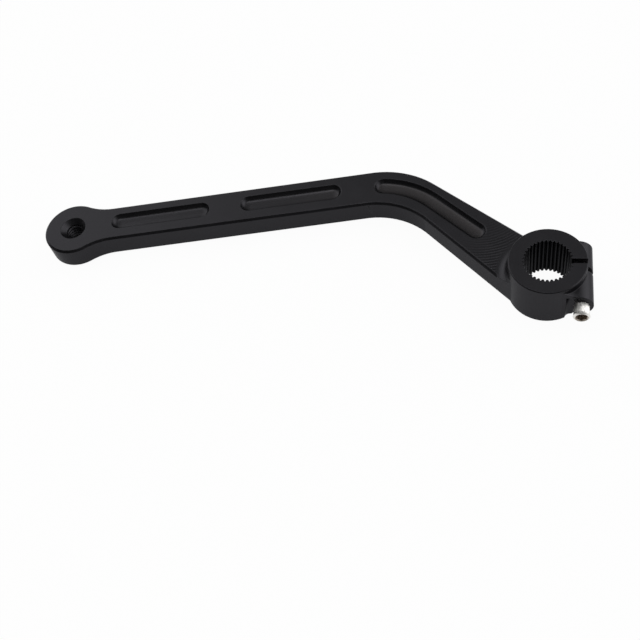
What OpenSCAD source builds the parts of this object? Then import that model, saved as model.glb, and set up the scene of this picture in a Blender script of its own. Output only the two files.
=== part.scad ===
// Gear shift lever: a bent arm milled from plate, with a serrated split hub and the bolt that pinches it shut.
// Millimetres. The spline bore stands on the origin, its back face lies at z = 0, and the peg hole is on -X.

/* [Arm] */
// Distance from the middle of the spline bore to the middle of the peg hole
reach = 183; // [160:1:230]
// Thickness of the arm
arm_t = 9.5; // [8:0.5:12]
// Width of the long arm
arm_w = 15.5; // [13:0.5:18]
// Slope of the long arm in degrees
long_angle = 15.6; // [10:0.2:20]
// Slope of the short arm's middle line in degrees
short_angle = 33.4; // [28:0.2:40]
// Half of the angle by which the short arm widens towards the hub
taper = 3.8; // [1:0.2:6]
// Distance from the bore's axis to the short arm's outer edge
root_out = 9; // [7:0.2:11]
// Distance from the bore's axis to the short arm's inner edge
root_in = 12.6; // [10:0.2:13]
// Radius of the bend along its outer edge
bend_out_r = 32; // [24:1:38]
// Radius of the bend along its inner edge
bend_in_r = 28; // [20:1:32]
// Width of the bevel along the arm's edges
edge_break = 0.8; // [0.3:0.1:1.2]

/* [Peg end] */
// Diameter of the round end that carries the peg
boss_d = 23.2; // [20:0.2:28]
// Radius of the hollow flares between the round end and the arm
flare_r = 22; // [12:1:30]
// Nominal diameter of the peg's thread
peg_d = 6.35; // [5:0.05:8]
// Diameter of the countersink over the peg's thread
sink_d = 10.2; // [9:0.1:14]

/* [Pockets] */
// Width of a pocket from lip to lip
pocket_w = 7; // [5:0.1:8.4]
// Depth of a pocket
pocket_deep = 2.3; // [1:0.1:3]
// How far the pockets lie towards the outer edge from the arm's middle line
pocket_shift = 0.4; // [0:0.1:1]
// Number of straight pockets along the long arm
pocket_count = 2; // [1:1:4]
// Length of metal between the peg hole's middle and the first pocket
boss_rib = 15.6; // [14:0.2:20]
// Length of metal between one pocket and the next
pocket_rib = 12.3; // [6:0.1:16]
// Radius of the bent pocket along its middle line
pocket_bend_r = 30; // [24:1:36]
// How far round the bend the bent pocket starts, in degrees
pocket_turn = 9.5; // [2:0.5:20]
// Distance from the bore's axis to the end of the bent pocket
hub_rib = 27.6; // [24:0.2:32]

/* [Hub] */
// Outer diameter of the hub
hub_d = 27; // [25:0.5:34]
// Height of the hub
hub_h = 17.8; // [15.8:0.2:24]
// Width of the bevel on the hub's edges
hub_break = 0.3; // [0.1:0.1:0.8]
// Radius of the hollow fillet that climbs from the arm to the hub
cove_r = 3.6; // [2:0.2:5]

/* [Spline] */
// Number of serrations
teeth = 36; // [30:2:40]
// Diameter across the tips of the serrations
tip_d = 15.9; // [15:0.1:17]
// Depth of a serration
tooth_deep = 0.78; // [0.5:0.02:0.9]
// Angle of a serration's gap
gap_angle = 60; // [50:5:90]

/* [Clamp] */
// Direction of the slit, turned from +X, in degrees
clamp_angle = 6; // [0:0.5:12]
// Width of the slit
slit_w = 1.8; // [1.2:0.1:2.6]
// Radius of the lug's barrel round the bolt
lug_r = 5.3; // [4.6:0.1:6]
// Distance from the bore's axis to the lug's barrel, along the slit
lug_x = 10.3; // [10:0.1:12]
// Length of the lug on the bolt head's side of the slit
lug_near = 12.5; // [11:0.1:14]
// Length of the lug on the far side of the slit
lug_far = 10.8; // [10:0.1:14]
// Radius of the hollow flank between the hub's rim and the lug
flank_r = 7.5; // [6:0.5:8]
// Radius of the upright groove beside the bolt's head
relief_r = 2; // [1.5:0.1:2.6]
// Height that the groove reaches from the hub's back
relief_h = 13.4; // [12:0.2:15]
// Distance from the bolt's axis to the middle of that groove
relief_gap = 3.2; // [3:0.1:5]
// How far the groove's middle lies inside the lug's end face
relief_in = 0.4; // [0:0.1:1]

/* [Pinch bolt] */
// Distance from the bore's axis to the bolt's axis
bolt_x = 11.5; // [11.2:0.1:12]
// Diameter of the bolt's thread
bolt_d = 4.17; // [3.6:0.01:4.3]
// Length of the bolt under its head
bolt_len = 19.05; // [16:0.05:22]
// Diameter of the bolt's head
head_d = 5.8; // [5.6:0.1:7.4]
// Height of the bolt's head
head_h = 4.8; // [3:0.1:5]
// Width of the bevel round the bolt's head
head_rim = 0.5; // [0.2:0.1:0.8]
// Width of the hexagon socket across its flats
hex_af = 3.57; // [2.5:0.01:4]
// Depth of the hexagon socket
hex_deep = 2; // [1:0.1:2.6]
// Gap round the bolt where it only passes through
bolt_clear = 0.2; // [0.1:0.05:0.3]
// Gap round the bolt where it is screwed in
thread_clear = 0.03; // [0.02:0.01:0.1]

/* [Hidden] */
$fn = 96;

function along(a) = [cos(a), sin(a)];
function outward(a) = [-sin(a), cos(a)];
// The point where two lines meet, each given by its normal and its distance from the origin
function meet(n, d, m, e) = [d * m[1] - e * n[1], n[0] * e - m[0] * d] / cross(n, m);

// Lines of the long arm
boss = [-reach, 0];
long_dir = along(long_angle);
long_n = outward(long_angle);
long_mid = boss * long_n;

// Lines of the short arm: outer edge, inner edge and middle
out_angle = taper - short_angle;
in_angle = -taper - short_angle;
out_n = outward(out_angle);
in_n = outward(in_angle);
mid_dir = along(-short_angle);
mid_n = outward(-short_angle);
mid_off = (root_out - root_in) / (2 * cos(taper));

// Centres of the bend's two edges, each tangent to the straight edges beside it
bend_out = meet(long_n, long_mid + arm_w / 2 - bend_out_r, out_n, root_out - bend_out_r);
bend_in = meet(long_n, long_mid - arm_w / 2 - bend_in_r, in_n, -root_in - bend_in_r);
bend_out_s = (bend_out - boss) * long_dir;
bend_in_s = (bend_in - boss) * long_dir;

boss_r = boss_d / 2;
hub_r = hub_d / 2;
// Round edges bite this far into the edges that they run into, so that they cross cleanly
bite = 0.02;
flare_x = sqrt(pow(boss_r + flare_r - bite, 2) - pow(arm_w / 2 + flare_r, 2));

// A pocket is cut with a ball whose radius gives both the width and the depth
ball_r = (pow(pocket_w / 2, 2) + pow(pocket_deep, 2)) / (2 * pocket_deep);
ball_z = arm_t - pocket_deep + ball_r;
lane = long_mid + pocket_shift;
bent_mid = meet(long_n, lane - pocket_bend_r, mid_n, mid_off + pocket_shift - pocket_bend_r);
// The bent pocket's ends lap into its bend, and are cut this much shy of its radius
lap = 0.5;
shy = 0.03;
bent_start_s = (bent_mid - boss) * long_dir + pocket_bend_r * pocket_turn * PI / 180 - pocket_w / 2;
pocket_len = (bent_start_s - boss_rib - pocket_count * pocket_rib) / pocket_count;

relief_x = bolt_x - relief_gap;
tip_r = tip_d / 2;
root_r = tip_r + tooth_deep;
// Cutters pass through the faces they cut by this much
over = 1;
// Pieces of the arm are sunk into each other by this much, and by less where they are narrow
sink = 8;
small_sink = 4;
// The straight bars run on this far past the start of the bend's hollow edge
lead = 2;

// Disc with bevelled rims
module edged_disc(r, h, e) {
    rotate_extrude()
        polygon([[0, 0], [r - e, 0], [r, e], [r, h - e], [r - e, h], [0, h]]);
}

// Cutter that leaves a hollow edge with the arm's bevel along both rims
module spool(r) {
    flare = edge_break + over;
    rotate_extrude()
        polygon([
            [0, -over], [r + flare, -over], [r, edge_break],
            [r, arm_t - edge_break], [r + flare, arm_t + over], [0, arm_t + over]
        ]);
}

// Cutter for the bevels of a straight edge that runs along X, with the metal on the -Y side
module edge_cutter(l) {
    for (top = [0, 1])
        translate([0, 0, top * arm_t])
            mirror([0, 0, top])
                rotate([90, 0, 90])
                    linear_extrude(l)
                        polygon([[-edge_break - over, -over], [over, -over], [over, edge_break + over]]);
}

// Bar with a given plan, bevelled along two straight edges: the outer one through p at angle a, the inner
// one through q at angle b
module bar(p, a, q, b) {
    difference() {
        linear_extrude(arm_t)
            children();
        translate(p)
            rotate(a)
                translate([-reach, 0])
                    edge_cutter(2 * reach);
        translate(q)
            rotate(b + 180)
                translate([-reach, 0])
                    edge_cutter(2 * reach);
    }
}

// Long arm, from the peg hole to the start of the bend
module long_bar() {
    half = arm_w / 2 * long_n;
    bar(boss + half, long_angle, boss - half, long_angle)
        polygon([
            boss + half,
            bend_out + bend_out_r * long_n,
            boss + bend_out_s * long_dir,
            boss + (bend_in_s + lead) * long_dir,
            bend_in + bend_in_r * long_n + lead * long_dir,
            boss - half
        ]);
}

// Round end for the peg, with hollow flares on both sides where it meets the arm
module peg_end() {
    flare_y = arm_w / 2 + flare_r;
    translate(boss)
        rotate(long_angle)
            difference() {
                union() {
                    edged_disc(boss_r, arm_t, edge_break);
                    linear_extrude(arm_t)
                        polygon([[0, 0], [flare_x, flare_y], [flare_x, -flare_y]]);
                }
                for (side = [-1, 1])
                    translate([flare_x, side * flare_y])
                        spool(flare_r);
            }
}

// Plan of the short arm, which widens from the end of the bend to the hub
module short_plan() {
    polygon([
        bend_out + bend_out_r * out_n,
        root_out * out_n,
        -root_in * in_n,
        bend_in + bend_in_r * in_n - lead * along(in_angle),
        bend_in + (bend_in_r + sink) * in_n,
        bend_out + (bend_out_r - sink) * out_n
    ]);
}

module short_bar() {
    bar(root_out * out_n, out_angle, -root_in * in_n, in_angle)
        short_plan();
}

// Outer edge of the bend, as a slice of a disc
module bend_outer() {
    near = bend_out_r - sink;
    far = 2 * bend_out_r;
    // The slice reaches this many degrees past both straight edges
    past = 3;
    from = outward(out_angle - past);
    to = outward(long_angle + past);
    translate(bend_out)
        intersection() {
            edged_disc(bend_out_r + bite, arm_t, edge_break);
            translate([0, 0, -over])
                linear_extrude(arm_t + 2 * over)
                    polygon([near * from, far * from, far * to, near * to]);
        }
}

// Metal that fills the inner corner of the bend, out to its hollow edge
module bend_inner() {
    difference() {
        linear_extrude(arm_t)
            polygon([
                bend_in + (bend_in_r - small_sink) * in_n,
                bend_in + (bend_in_r - small_sink) * long_n,
                bend_in + (bend_in_r + sink) * long_n,
                bend_out + (bend_out_r - small_sink) * long_n,
                bend_out + (bend_out_r - small_sink) * out_n,
                bend_in + (bend_in_r + sink + over) * in_n
            ]);
        translate(bend_in)
            spool(bend_in_r + bite);
    }
}

module arm() {
    peg_end();
    long_bar();
    bend_outer();
    bend_inner();
    short_bar();
}

// Hollow fillet that climbs from the arm's face to the hub's wall
module cove() {
    intersection() {
        rotate_extrude()
            difference() {
                translate([hub_r - over, arm_t - edge_break])
                    square([cove_r + over, cove_r + edge_break]);
                translate([hub_r + cove_r, arm_t + cove_r])
                    circle(cove_r);
            }
        linear_extrude(arm_t + 2 * cove_r)
            short_plan();
    }
}

// Barrel lug that carries the bolt, with hollow flanks up and down to the hub's rims
module lug() {
    flank_z = lug_r + flank_r;
    web_x = hub_r / 3;
    rotate(clamp_angle)
        translate([0, lug_far, hub_h / 2])
            rotate([90, 0, 0])
                linear_extrude(lug_near + lug_far) {
                    translate([lug_x, 0])
                        circle(lug_r);
                    difference() {
                        translate([web_x, -hub_h / 2])
                            square([lug_x - web_x, hub_h]);
                        translate([lug_x, flank_z])
                            circle(flank_r);
                        translate([lug_x, -flank_z])
                            circle(flank_r);
                    }
                }
}

// Ball turned so that its poles lie above the arm
module ball(r) {
    rotate([90, 0, 0])
        sphere(r);
}

// Ball-nosed cut from the origin along X, round at its far end
module ball_cut(l, r) {
    translate([l, 0]) {
        rotate([0, -90, 0])
            cylinder(r = r, h = l);
        ball(r);
    }
}

module straight_pockets() {
    for (i = [0 : pocket_count - 1])
        translate(boss + (boss_rib + i * (pocket_len + pocket_rib) + pocket_w / 2) * long_dir)
            translate(pocket_shift * long_n)
                rotate(long_angle) {
                    ball_cut(pocket_len - pocket_w, ball_r);
                    ball(ball_r);
                }
}

// Pocket that follows the bend: a round start, the bend itself and the run towards the hub
module bent_pocket() {
    bend_from = 90 + long_angle - pocket_turn;
    bend_to = 90 - short_angle;
    lap_angle = lap / pocket_bend_r * 180 / PI;
    run_start = bent_mid + pocket_bend_r * mid_n - lap * mid_dir;
    translate(bent_mid) {
        translate(pocket_bend_r * along(bend_from - lap_angle))
            ball(ball_r - shy);
        rotate(bend_to)
            rotate_extrude(angle = bend_from - bend_to)
                translate([pocket_bend_r, 0])
                    circle(ball_r);
    }
    translate(run_start)
        rotate(-short_angle)
            ball_cut(-run_start * mid_dir - hub_rib - pocket_w / 2, ball_r - shy);
}

module pockets() {
    translate([0, 0, ball_z]) {
        straight_pockets();
        bent_pocket();
    }
}

// Serrated bore, as a plain bore with a ring of pointed gaps round it
module spline_bore() {
    foot = root_r - tip_r + over;
    half = foot * tan(gap_angle / 2);
    translate([0, 0, -over])
        cylinder(r = tip_r, h = hub_h + 2 * over);
    for (i = [0 : teeth - 1])
        rotate(i * 360 / teeth)
            translate([0, 0, -over])
                linear_extrude(hub_h + 2 * over)
                    polygon([[root_r, 0], [root_r - foot, half], [root_r - foot, -half]]);
}

// Slit, bolt hole and the groove beside the bolt's head
module clamp_cuts() {
    rotate(clamp_angle) {
        translate([0, -slit_w / 2, -over])
            cube([lug_x + 2 * lug_r, slit_w, hub_h + 2 * over]);
        translate([bolt_x, 0, hub_h / 2])
            rotate([90, 0, 0])
                cylinder(d = bolt_d + 2 * bolt_clear, h = lug_near + over);
        translate([bolt_x, lug_far + over, hub_h / 2])
            rotate([90, 0, 0])
                cylinder(d = bolt_d + 2 * thread_clear, h = lug_far + over);
        translate([relief_x, relief_in - lug_near, -over])
            cylinder(r = relief_r, h = relief_h + over);
    }
}

// Tapped hole for the peg, shown at its thread's full diameter, with its countersink
module peg_hole() {
    sink_h = (sink_d - peg_d) / 2;
    translate([boss[0], 0, -over])
        cylinder(d = peg_d, h = arm_t + 2 * over);
    translate([boss[0], 0, arm_t - sink_h])
        cylinder(d1 = peg_d, d2 = sink_d + 2 * over, h = sink_h + over);
}

module lever_body() {
    color([0.15, 0.15, 0.16])
        difference() {
            union() {
                arm();
                cove();
                edged_disc(hub_r, hub_h, hub_break);
                lug();
            }
            spline_bore();
            clamp_cuts();
            pockets();
            peg_hole();
        }
}

module pinch_bolt() {
    tip = bolt_d / 8;
    color([0.78, 0.77, 0.73])
        rotate(clamp_angle)
            translate([bolt_x, -lug_near, hub_h / 2])
                rotate([-90, 0, 0])
                    difference() {
                        rotate_extrude()
                            polygon([
                                [0, -head_h], [head_d / 2 - head_rim, -head_h], [head_d / 2, head_rim - head_h],
                                [head_d / 2, 0], [bolt_d / 2, 0], [bolt_d / 2, bolt_len - tip],
                                [bolt_d / 2 - tip, bolt_len], [0, bolt_len]
                            ]);
                        translate([0, 0, -head_h - over])
                            cylinder(d = hex_af / cos(30), h = hex_deep + over, $fn = 6);
                    }
}

lever_body();
pinch_bolt();
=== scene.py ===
import bpy, bmesh, math
from mathutils import Vector, Matrix

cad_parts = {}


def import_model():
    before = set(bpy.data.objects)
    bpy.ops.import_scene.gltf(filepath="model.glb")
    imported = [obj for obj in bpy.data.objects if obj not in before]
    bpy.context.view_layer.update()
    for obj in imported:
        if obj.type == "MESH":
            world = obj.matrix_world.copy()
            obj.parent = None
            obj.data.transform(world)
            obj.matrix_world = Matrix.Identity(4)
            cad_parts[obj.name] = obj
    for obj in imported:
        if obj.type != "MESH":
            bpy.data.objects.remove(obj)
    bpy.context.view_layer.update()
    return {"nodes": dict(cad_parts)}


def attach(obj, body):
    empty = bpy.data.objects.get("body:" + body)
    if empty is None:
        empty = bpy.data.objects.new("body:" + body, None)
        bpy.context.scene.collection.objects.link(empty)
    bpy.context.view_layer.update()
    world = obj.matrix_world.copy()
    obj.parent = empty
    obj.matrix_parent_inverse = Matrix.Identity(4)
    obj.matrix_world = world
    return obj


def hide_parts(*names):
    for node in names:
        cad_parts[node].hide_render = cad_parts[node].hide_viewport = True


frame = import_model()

MM = 0.001

# Places that the source gives, in millimetres
REACH = 183
ARM_T = 9.5
PEG_R = 3.175
PEG_PITCH = 1.27
SINK_R = 5.1
HUB_H = 17.8
CLAMP = math.radians(6)
BOLT_X, LUG_NEAR = 11.5, 12.5
BOLT_R, BOLT_LEN, BOLT_PITCH = 2.085, 19.05, 0.79
HEAD_R, HEAD_H, HEAD_RIM = 2.9, 4.8, 0.5
HEX_AF, HEX_DEEP = 3.57, 2.0


def new_object(name, bm, smooth=30):
    me = bpy.data.meshes.new(name)
    bm.normal_update()
    bm.to_mesh(me)
    bm.free()
    ob = bpy.data.objects.new(name, me)
    bpy.context.scene.collection.objects.link(ob)
    me.polygons.foreach_set("use_smooth", [True] * len(me.polygons))
    if smooth:
        me.set_sharp_from_angle(angle=math.radians(smooth))
    return ob


# ---- materials ----
def material(name):
    m = bpy.data.materials.new(name)
    m.use_nodes = True
    nt = m.node_tree
    nt.nodes.clear()
    out = nt.nodes.new("ShaderNodeOutputMaterial")
    sh = nt.nodes.new("ShaderNodeBsdfPrincipled")
    nt.links.new(sh.outputs[0], out.inputs[0])
    return m, nt, sh


class Net:
    """Small helper that adds nodes and links them"""
    def __init__(self, nt):
        self.nt = nt

    def node(self, kind, inputs=(), **props):
        n = self.nt.nodes.new(kind)
        for k, v in props.items():
            setattr(n, k, v)
        for key, v in dict(inputs).items():
            if isinstance(v, bpy.types.NodeSocket):
                self.nt.links.new(v, n.inputs[key])
            else:
                n.inputs[key].default_value = v
        return n

    def math(self, op, a, b=0.0, c=0.0, clamp=False):
        return self.node("ShaderNodeMath", {0: a, 1: b, 2: c}, operation=op, use_clamp=clamp).outputs[0]

    def vec(self, op, a, b=(0, 0, 0)):
        n = self.node("ShaderNodeVectorMath", {0: a, 1: b}, operation=op)
        return n.outputs["Value"] if op in ("LENGTH", "DISTANCE", "DOT_PRODUCT") else n.outputs[0]

    def ramp(self, v, lo, hi, a=0.0, b=1.0):
        return self.node("ShaderNodeMapRange", {0: v, 1: lo, 2: hi, 3: a, 4: b}).outputs[0]

    def noise(self, vec, scale, detail=3.0, rough=0.5):
        n = self.node("ShaderNodeTexNoise", {"Vector": vec, "Scale": scale, "Detail": detail, "Roughness": rough})
        return n.outputs[0]

    def mix(self, fac, a, b):
        n = self.node("ShaderNodeMix", {0: fac, 6: a, 7: b}, data_type="RGBA")
        return n.outputs[2]


def anodised():
    m, nt, sh = material("black_anodised")
    k = Net(nt)
    geo = k.node("ShaderNodeNewGeometry")
    mm = k.vec("SCALE", geo.outputs["Position"])
    mm.node.inputs["Scale"].default_value = 1000.0
    xyz = k.node("ShaderNodeSeparateXYZ", {0: mm})
    x, y, z = xyz.outputs
    nrm = k.node("ShaderNodeSeparateXYZ", {0: geo.outputs["True Normal"]})
    up = k.ramp(nrm.outputs[2], 0.7, 0.95)
    flat = k.node("ShaderNodeCombineXYZ", {0: x, 1: y})
    r = k.vec("LENGTH", flat.outputs[0])
    # Tool marks: arcs that the face mill left where the short arm meets the hub
    wob = k.noise(mm, 0.35, 2.0)
    arc = k.vec("DISTANCE", flat.outputs[0], (-27.5, 29.5, 0))
    ring = k.math("SINE", k.math("MULTIPLY", k.math("ADD", arc, k.math("MULTIPLY", wob, 0.5)), 5.6))
    near = k.math("MULTIPLY", k.math("MULTIPLY", k.ramp(r, 33.0, 21.0), k.ramp(r, 17.0, 18.0)), up)
    rings = k.math("MULTIPLY", ring, near)
    # Fine lines along the walls from the side mill
    side = k.node("ShaderNodeCombineXYZ", {0: k.math("MULTIPLY", x, 0.05), 1: k.math("MULTIPLY", y, 0.05), 2: z})
    lines = k.noise(side.outputs[0], 3.0, 4.0, 0.6)
    grain = k.noise(mm, 6.0, 5.0, 0.65)
    cloud = k.noise(mm, 0.12, 3.0, 0.55)
    walls = k.math("SUBTRACT", 1.0, up)
    h = k.math("ADD", k.math("MULTIPLY", rings, 1.6),
               k.math("ADD", k.math("MULTIPLY", grain, 0.8), k.math("MULTIPLY", k.math("MULTIPLY", lines, walls), 1.2)))
    bump = k.node("ShaderNodeBump", {"Strength": 1.0, "Distance": 0.000022, "Height": h})
    # Edges are softened, those of the short arm most
    soft = k.math("MULTIPLY", k.ramp(x, -110.0, -90.0), k.ramp(r, 16.0, 24.0))
    bev = k.node("ShaderNodeBevel", {"Radius": k.ramp(soft, 0.0, 1.0, 0.0003, 0.0006)}, samples=8)
    # The pockets' floors are nearly flat between their steep walls
    smooth = k.node("ShaderNodeSeparateXYZ", {0: geo.outputs["Normal"]}).outputs[2]
    pocket = k.math("MULTIPLY", k.ramp(z, ARM_T - 0.83, ARM_T - 0.95), k.ramp(z, 2.0, 3.0))
    floor_part = k.math("MULTIPLY", k.math("MULTIPLY", pocket, k.ramp(smooth, 0.74, 0.90)), k.ramp(r, 18.0, 20.0, 0.0, 0.6))
    level = k.node("ShaderNodeMix", {0: floor_part, 4: bev.outputs[0], 5: (0, 0, 1)}, data_type="VECTOR").outputs[1]
    nt.links.new(k.vec("NORMALIZE", level), bump.inputs["Normal"])
    nt.links.new(bump.outputs[0], sh.inputs["Normal"])
    # The pockets' floors are painted a little lighter and warmer than the other faces: a painted sheen, faint toward
    # the boss and strongest toward the hub
    pocket_painted_sheen = k.math("MULTIPLY", floor_part, k.ramp(x, -105.0, -60.0, 0.1, 1.4))
    col = k.mix(cloud, (0.0262, 0.0257, 0.0286, 1), (0.0310, 0.0303, 0.0334, 1))
    col = k.mix(pocket_painted_sheen, col, (0.046, 0.0430, 0.0440, 1))
    # The bore's walls are painted darker than the rest of the body: painted shade inside the bore
    bore_painted_shade = k.math("MULTIPLY", k.ramp(r, 9.4, 9.0), k.ramp(z, HUB_H - 0.05, HUB_H - 0.4))
    col = k.mix(bore_painted_shade, col, (0.013, 0.013, 0.0145, 1))
    nt.links.new(col, sh.inputs["Base Color"])
    rough = k.math("ADD", k.ramp(cloud, 0.3, 0.7, 0.29, 0.36), k.math("ADD", k.ramp(grain, 0.3, 0.7, -0.04, 0.04), k.math("MULTIPLY", rings, 0.06)))
    nt.links.new(rough, sh.inputs["Roughness"])
    # A dark metal whose edges brighten less than a glossy paint's
    sh.inputs["Metallic"].default_value = 0.85
    sh.inputs["Specular Tint"].default_value = (0.58, 0.58, 0.59, 1)
    return m


def steel(name, dark, light, rough):
    m, nt, sh = material(name)
    k = Net(nt)
    geo = k.node("ShaderNodeNewGeometry")
    mm = k.vec("SCALE", geo.outputs["Position"])
    mm.node.inputs["Scale"].default_value = 1000.0
    cloud = k.noise(mm, 0.9, 3.0, 0.6)
    grain = k.noise(mm, 14.0, 4.0, 0.7)
    col = k.mix(cloud, dark, light)
    nt.links.new(col, sh.inputs["Base Color"])
    sh.inputs["Metallic"].default_value = 1.0
    nt.links.new(k.ramp(k.math("MULTIPLY", cloud, grain), 0.1, 0.4, rough - 0.08, rough + 0.08), sh.inputs["Roughness"])
    bump = k.node("ShaderNodeBump", {"Strength": 0.12, "Distance": 0.00001, "Height": grain})
    nt.links.new(bump.outputs[0], sh.inputs["Normal"])
    return m


BLACK = anodised()
STEEL = steel("bright_steel", (0.90, 0.885, 0.85, 1), (0.96, 0.95, 0.92, 1), 0.40)
# The socket's inside is painted a darker brown than the rest of the bolt: painted shade in the recess
SOCKET_PAINTED_SHADE = steel("socket_painted_shade", (0.36, 0.32, 0.27, 1), (0.55, 0.49, 0.43, 1), 0.45)

lever = frame["nodes"]["lever_body"]
bolt_cad = frame["nodes"]["pinch_bolt"]
for node, mat in ((lever, BLACK), (bolt_cad, STEEL)):
    node.data.materials.clear()
    node.data.materials.append(mat)


# ---- screw threads and the bolt ----
def helix_ridge(bm, r_wall, r_crest, pitch, z0, z1, lap=0.05, steps=64, fade=0.6):
    """V-shaped ridge wound on a wall; it runs out to the wall's radius at both ends. Works inwards and outwards."""
    turns = (z1 - z0) / pitch - 1
    n = int(turns * steps)
    sign = 1 if r_crest > r_wall else -1
    base = r_wall - sign * lap
    rows = []
    for i in range(n + 1):
        a = 2 * math.pi * i / steps
        z = z0 + pitch / 2 + pitch * i / steps
        t = min(1, i / (steps * fade), (n - i) / (steps * fade))
        crest = base + (r_crest - base) * max(t, 0.02)
        w = pitch * 0.48 * max(t, 0.1)
        c, s = math.cos(a), math.sin(a)
        pts = [(base, z - w), (crest, z - pitch * 0.07), (crest, z + pitch * 0.07), (base, z + w)]
        rows.append([bm.verts.new((r * c * MM, r * s * MM, h * MM)) for r, h in pts])
    flip = sign < 0
    for i in range(n):
        for j in range(4):
            q = [rows[i][j], rows[i][(j + 1) % 4], rows[i + 1][(j + 1) % 4], rows[i + 1][j]]
            bm.faces.new(q)
    bm.faces.new(rows[0])
    bm.faces.new(list(reversed(rows[-1])))
    bmesh.ops.recalc_face_normals(bm, faces=bm.faces)


def peg_thread():
    bm = bmesh.new()
    helix_ridge(bm, PEG_R, 2.62, PEG_PITCH, 0.15, ARM_T - (SINK_R - PEG_R) + 0.15)
    ob = new_object("peg_thread", bm, 25)
    ob.location = (-REACH * MM, 0, 0)
    ob.data.materials.append(BLACK)
    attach(ob, "root")
    return ob


def lathe(bm, profile, seg, wave=None):
    """Turns a closed profile of (r, h) points round Z; wave(r, h, angle) may change the radius"""
    rings = []
    for r, h in profile:
        if r < 1e-6:
            rings.append([bm.verts.new((0, 0, h * MM))])
            continue
        ring = []
        for i in range(seg):
            a = 2 * math.pi * i / seg
            q = wave(r, h, a) if wave else r
            ring.append(bm.verts.new((q * math.cos(a) * MM, q * math.sin(a) * MM, h * MM)))
        rings.append(ring)
    for p, q in zip(rings, rings[1:]):
        for i in range(seg):
            j = (i + 1) % seg
            if len(p) == 1:
                bm.faces.new((p[0], q[j], q[i]))
            elif len(q) == 1:
                bm.faces.new((p[i], p[j], q[0]))
            else:
                bm.faces.new((p[i], p[j], q[j], q[i]))


def bolt_matrix():
    """Local +Z points from the head's seat along the shank"""
    seat = Matrix.Translation((BOLT_X * MM, -LUG_NEAR * MM, HUB_H / 2 * MM))
    return Matrix.Rotation(CLAMP, 4, "Z") @ seat @ Matrix.Rotation(-math.pi / 2, 4, "X")


def pinch_bolt():
    seg = 240
    ridges = 40
    hex_r = HEX_AF / 2
    knurl_lo, knurl_hi = -HEAD_H + HEAD_RIM + 0.15, -0.35
    depth = 0.07
    mouth = 2.33

    def socket_radius(a, blend):
        # From a circle (blend 0) to a hexagon (blend 1)
        k = (a + math.pi / 6) % (math.pi / 3) - math.pi / 6
        return (1 - blend) * hex_r / math.cos(math.pi / 6) + blend * hex_r / math.cos(k)

    def wave(r, h, a):
        if abs(r - HEAD_R) < 1e-3 and knurl_lo < h < knurl_hi:
            return r - 0.2 - depth * (0.5 - 0.5 * math.cos(ridges * a))
        return r

    bm = bmesh.new()
    top = -HEAD_H
    # Socket: floor cone, hexagon walls, a small countersink at the mouth, then the head and the shank
    prof = [(0, top + HEX_DEEP + 0.45), ("hex", top + HEX_DEEP), ("hex", top + 0.35), ("round", top),
            (HEAD_R - HEAD_RIM - 0.12, top), (HEAD_R - HEAD_RIM, top + 0.05),
            (HEAD_R - 0.1, top + HEAD_RIM - 0.1), (HEAD_R, top + HEAD_RIM), (HEAD_R, knurl_lo)]
    n = 10
    for i in range(1, n + 1):
        prof.append((HEAD_R, knurl_lo + (knurl_hi - knurl_lo) * i / (n + 1)))
    prof += [(HEAD_R - 0.2, knurl_hi), (HEAD_R - 0.2, -0.12), (HEAD_R - 0.3, 0), (BOLT_R + 0.25, 0), (BOLT_R - 0.02, 0.02)]
    tip = BOLT_R / 4
    core = BOLT_R - 0.42
    prof += [(BOLT_R - 0.02, 5.0), (core, 5.4), (core, BOLT_LEN - 0.4), (core - tip / 2, BOLT_LEN), (0, BOLT_LEN)]
    rings = []
    for r, h in prof:
        if r == 0:
            rings.append([bm.verts.new((0, 0, h * MM))])
            continue
        ring = []
        for i in range(seg):
            a = 2 * math.pi * i / seg
            if r == "hex":
                q = socket_radius(a, 1.0)
            elif r == "round":
                q = mouth
            else:
                q = wave(r, h, a)
            ring.append(bm.verts.new((q * math.cos(a) * MM, q * math.sin(a) * MM, h * MM)))
        rings.append(ring)
    for p, q in zip(rings, rings[1:]):
        for i in range(seg):
            j = (i + 1) % seg
            if len(p) == 1:
                face = bm.faces.new((p[0], q[j], q[i]))
            elif len(q) == 1:
                face = bm.faces.new((p[i], p[j], q[0]))
            else:
                face = bm.faces.new((p[i], p[j], q[j], q[i]))
            # The socket's floor, hexagon walls and mouth get the darker material, painted shade in the recess
            face.material_index = 1 if p in rings[:3] else 0
    bmesh.ops.recalc_face_normals(bm, faces=bm.faces)
    bm.transform(bolt_matrix())
    bolt = new_object("pinch_bolt_fine", bm, 35)
    bolt.data.materials.append(STEEL)
    bolt.data.materials.append(SOCKET_PAINTED_SHADE)
    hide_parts("pinch_bolt")
    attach(bolt, "root")

    bm = bmesh.new()
    helix_ridge(bm, core, BOLT_R - 0.01, BOLT_PITCH, 5.0, BOLT_LEN - 0.1, lap=0.05, steps=48)
    bm.transform(bolt_matrix())
    thread = new_object("pinch_bolt_thread", bm, 25)
    thread.data.materials.append(STEEL)
    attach(thread, "root")


peg_thread()
pinch_bolt()


# ---- camera ----
def camera():
    cam = bpy.data.cameras.new("camera")
    cam.sensor_fit = "HORIZONTAL"
    cam.sensor_width = 36
    cam.lens = 55.15
    cam.clip_start = 0.01
    cam.clip_end = 10
    ob = bpy.data.objects.new("camera", cam)
    bpy.context.scene.collection.objects.link(ob)
    right = Vector((0.96265, 0.22158, -0.15556)).normalized()
    back = Vector((0.24723, -0.4853, 0.83866)).normalized()
    up = back.cross(right).normalized()
    right = up.cross(back)
    rot = Matrix((right, up, back)).transposed().to_4x4()
    ob.matrix_world = Matrix.Translation((0.01012, -0.19651, 0.29942)) @ rot
    bpy.context.scene.camera = ob


camera()


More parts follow.
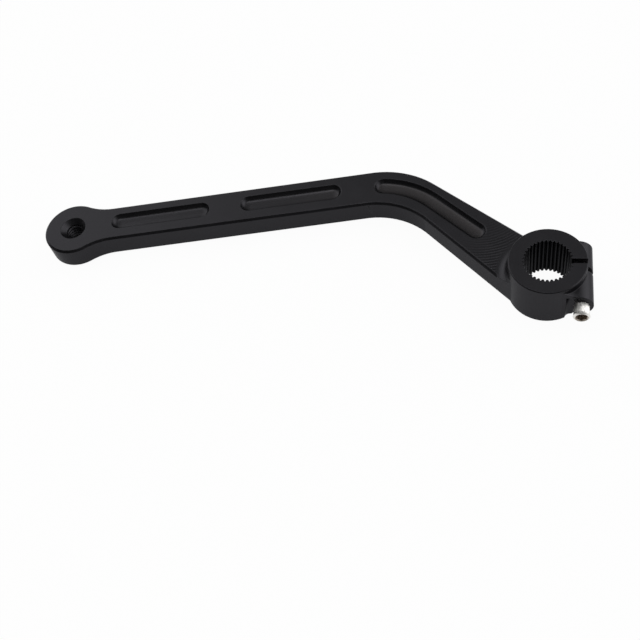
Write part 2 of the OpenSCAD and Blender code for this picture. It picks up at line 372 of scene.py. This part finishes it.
# ---- studio ----
# The room's level, and its lights: direction, cosines at which each starts and is full, and its strength
AMBIENT = 0.47
LIGHTS = [
    ((-0.82, 0.46, 0.37), 0.74, 0.92, 1.12),
    ((0.88, 0.38, 0.28), 0.60, 0.95, 1.4),
    ((0.0, -0.08, 0.99), 0.955, 0.995, 3.0),
    ((-0.50, -0.02, 0.86), 0.94, 0.99, 1.0),
    ((0.12, -0.86, 0.48), 0.45, 0.80, -0.46),
    ((-0.80, -0.45, 0.40), 0.68, 0.88, -0.46),
    ((-0.15, 0.95, 0.27), 0.82, 0.94, -0.52),
]


def floor():
    bm = bmesh.new()
    bmesh.ops.create_grid(bm, x_segments=1, y_segments=1, size=3)
    ob = new_object("studio_floor", bm, 0)
    ob.location = (-0.09, 0, -0.0002)
    m = bpy.data.materials.new("studio_floor")
    m.use_nodes = True
    nt = m.node_tree
    nt.nodes.clear()
    k = Net(nt)
    out = k.node("ShaderNodeOutputMaterial")
    # The camera and the reflections see the floor as white with a faint shadow
    path = k.node("ShaderNodeLightPath")
    diff = k.node("ShaderNodeBsdfDiffuse", {"Color": (0.9, 0.9, 0.9, 1)})
    white = k.node("ShaderNodeEmission", {"Color": (1, 1, 1, 1), "Strength": 1.0})
    mirrored = k.math("MAXIMUM", path.outputs["Is Glossy Ray"], path.outputs["Is Transmission Ray"])
    fac = k.math("MAXIMUM", k.math("MULTIPLY", path.outputs["Is Camera Ray"], 0.955), k.math("MULTIPLY", mirrored, 0.55))
    mix = k.node("ShaderNodeMixShader", {0: fac, 1: diff.outputs[0], 2: white.outputs[0]})
    nt.links.new(mix.outputs[0], out.inputs[0])
    ob.data.materials.append(m)


def world():
    w = bpy.data.worlds.new("studio")
    bpy.context.scene.world = w
    w.use_nodes = True
    nt = w.node_tree
    nt.nodes.clear()
    k = Net(nt)
    out = k.node("ShaderNodeOutputWorld")
    tc = k.node("ShaderNodeTexCoord")
    d = k.vec("NORMALIZE", tc.outputs["Generated"])
    room = AMBIENT
    for axis, lo, hi, level in LIGHTS:
        lobe = k.vec("DOT_PRODUCT", d, Vector(axis).normalized())
        room = k.math("ADD", room, k.math("MULTIPLY", k.math("SMOOTH_MIN", k.math("SMOOTH_MAX", k.ramp(lobe, lo, hi), 0.0, 0.1), 1.0, 0.1), level))
    room = k.math("MAXIMUM", room, 0.05)
    path = k.node("ShaderNodeLightPath")
    level = k.node("ShaderNodeMix", {0: path.outputs["Is Camera Ray"], 2: room, 3: 1.0}, data_type="FLOAT").outputs[0]
    bg = k.node("ShaderNodeBackground", {"Color": (1, 1, 1, 1), "Strength": level})
    nt.links.new(bg.outputs[0], out.inputs[0])


floor()
world()
bpy.context.scene.view_settings.view_transform = "Standard"
